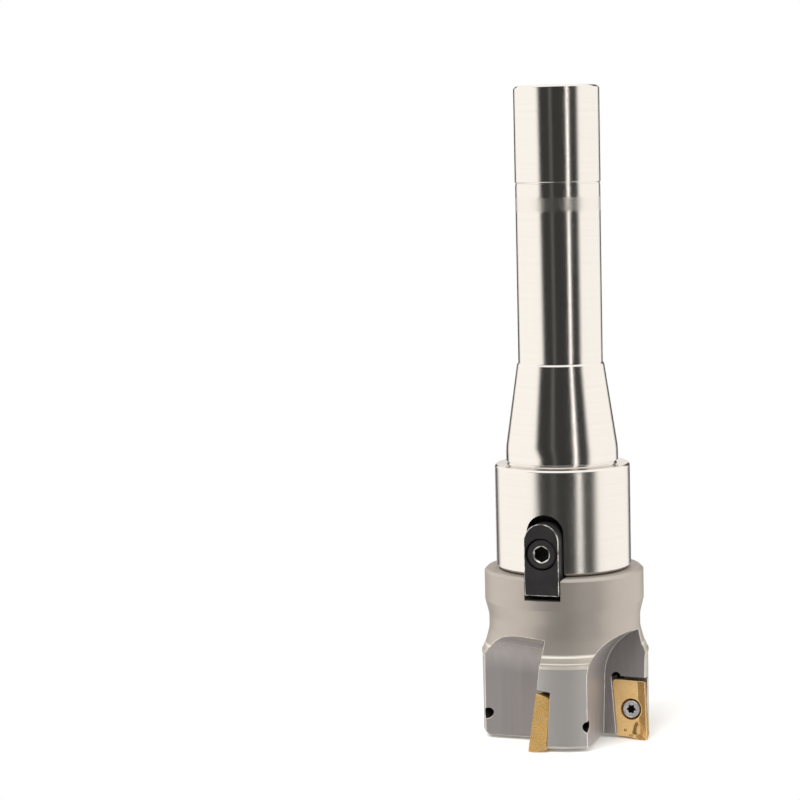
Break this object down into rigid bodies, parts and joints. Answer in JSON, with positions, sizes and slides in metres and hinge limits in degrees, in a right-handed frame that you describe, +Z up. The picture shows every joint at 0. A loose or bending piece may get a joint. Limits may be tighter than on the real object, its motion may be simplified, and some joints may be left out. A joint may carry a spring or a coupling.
{
  "type": "face mill",
  "caption": "Shoulder face mill on a tapered milling-spindle arbor, with screwed-on carbide inserts, drive keys and an axial clamp screw.",
  "frame": {"origin": "on the spindle axis, in the plane of the insert tips", "axes": "+Z up the spindle axis towards the drawbar end, with the drive keys on -Y and +Y"},
  "size_m": [0.0492, 0.0492, 0.1842],
  "materials": {
    "ground_steel": "ground and turned bright steel",
    "satin_nickel": "satin nickel-plated steel",
    "black_oxide": "black-oxide alloy steel, satin",
    "gold_coating": "gold-coloured ceramic coating on carbide",
    "bright_screw": "bright steel screw"
  },
  "bodies": {
    "arbor": {"arbor": "ground_steel"},
    "cutter": {"cutter_body": "satin_nickel"},
    "clamp_screw": {"clamp_screw": "black_oxide"},
    "drive_key_1": {"drive_key_1": "black_oxide"},
    "key_screw_1": {"key_screw_1": "black_oxide"},
    "drive_key_2": {"drive_key_2": "black_oxide"},
    "key_screw_2": {"key_screw_2": "black_oxide"},
    "insert_1": {"insert_1": "gold_coating"},
    "insert_screw_1": {"insert_screw_1": "bright_screw"},
    "insert_2": {"insert_2": "gold_coating"},
    "insert_screw_2": {"insert_screw_2": "bright_screw"},
    "insert_3": {"insert_3": "gold_coating"},
    "insert_screw_3": {"insert_screw_3": "bright_screw"},
    "insert_4": {"insert_4": "gold_coating"},
    "insert_screw_4": {"insert_screw_4": "bright_screw"}
  },
  "joints": [
    {"name": "cutter_slide", "type": "slide", "parent": "arbor", "child": "cutter", "axis": [0, 0, -1], "range_m": [0, 0.018]},
    {"name": "clamp_screw_turn", "type": "hinge", "parent": "cutter", "child": "clamp_screw", "pos_m": [0, 0, 0.019], "axis": [0, 0, -1], "range_deg": [0, 4320]},
    {"name": "drive_key_1_slide", "type": "slide", "parent": "arbor", "child": "drive_key_1", "axis": [0, -1, 0], "range_m": [0, 0.0072]},
    {"name": "key_screw_1_turn", "type": "hinge", "parent": "drive_key_1", "child": "key_screw_1", "pos_m": [0, -0.0172, 0.0554], "axis": [0, -1, 0], "range_deg": [0, 3240]},
    {"name": "drive_key_2_slide", "type": "slide", "parent": "arbor", "child": "drive_key_2", "axis": [0, 1, 0], "range_m": [0, 0.0072]},
    {"name": "key_screw_2_turn", "type": "hinge", "parent": "drive_key_2", "child": "key_screw_2", "pos_m": [0, 0.0172, 0.0554], "axis": [0, 1, 0], "range_deg": [0, 3240]},
    {"name": "insert_1_slide", "type": "slide", "parent": "cutter", "child": "insert_1", "axis": [-0.0933, -0.987, 0.1305], "range_m": [0, 0.0056]},
    {"name": "insert_screw_1_turn", "type": "hinge", "parent": "insert_1", "child": "insert_screw_1", "pos_m": [0.01951, -0.00248, 0.00843], "axis": [-0.0933, -0.987, 0.1305], "range_deg": [0, 2880]},
    {"name": "insert_2_slide", "type": "slide", "parent": "cutter", "child": "insert_2", "axis": [0.987, -0.0933, 0.1305], "range_m": [0, 0.0056]},
    {"name": "insert_screw_2_turn", "type": "hinge", "parent": "insert_2", "child": "insert_screw_2", "pos_m": [0.00248, 0.01951, 0.00843], "axis": [0.987, -0.0933, 0.1305], "range_deg": [0, 2880]},
    {"name": "insert_3_slide", "type": "slide", "parent": "cutter", "child": "insert_3", "axis": [0.0933, 0.987, 0.1305], "range_m": [0, 0.0056]},
    {"name": "insert_screw_3_turn", "type": "hinge", "parent": "insert_3", "child": "insert_screw_3", "pos_m": [-0.01951, 0.00248, 0.00843], "axis": [0.0933, 0.987, 0.1305], "range_deg": [0, 2880]},
    {"name": "insert_4_slide", "type": "slide", "parent": "cutter", "child": "insert_4", "axis": [-0.987, 0.0933, 0.1305], "range_m": [0, 0.0056]},
    {"name": "insert_screw_4_turn", "type": "hinge", "parent": "insert_4", "child": "insert_screw_4", "pos_m": [-0.00248, -0.01951, 0.00843], "axis": [-0.987, 0.0933, 0.1305], "range_deg": [0, 2880]}
  ],
  "couplings": [
    {"joint": "clamp_screw_turn", "follows": "cutter_slide", "rad_per_m": 4188.8},
    {"joint": "key_screw_1_turn", "follows": "drive_key_1_slide", "rad_per_m": 7854},
    {"joint": "key_screw_2_turn", "follows": "drive_key_2_slide", "rad_per_m": 7854},
    {"joint": "insert_screw_1_turn", "follows": "insert_1_slide", "rad_per_m": 8976},
    {"joint": "insert_screw_2_turn", "follows": "insert_2_slide", "rad_per_m": 8976},
    {"joint": "insert_screw_3_turn", "follows": "insert_3_slide", "rad_per_m": 8976},
    {"joint": "insert_screw_4_turn", "follows": "insert_4_slide", "rad_per_m": 8976}
  ]
}
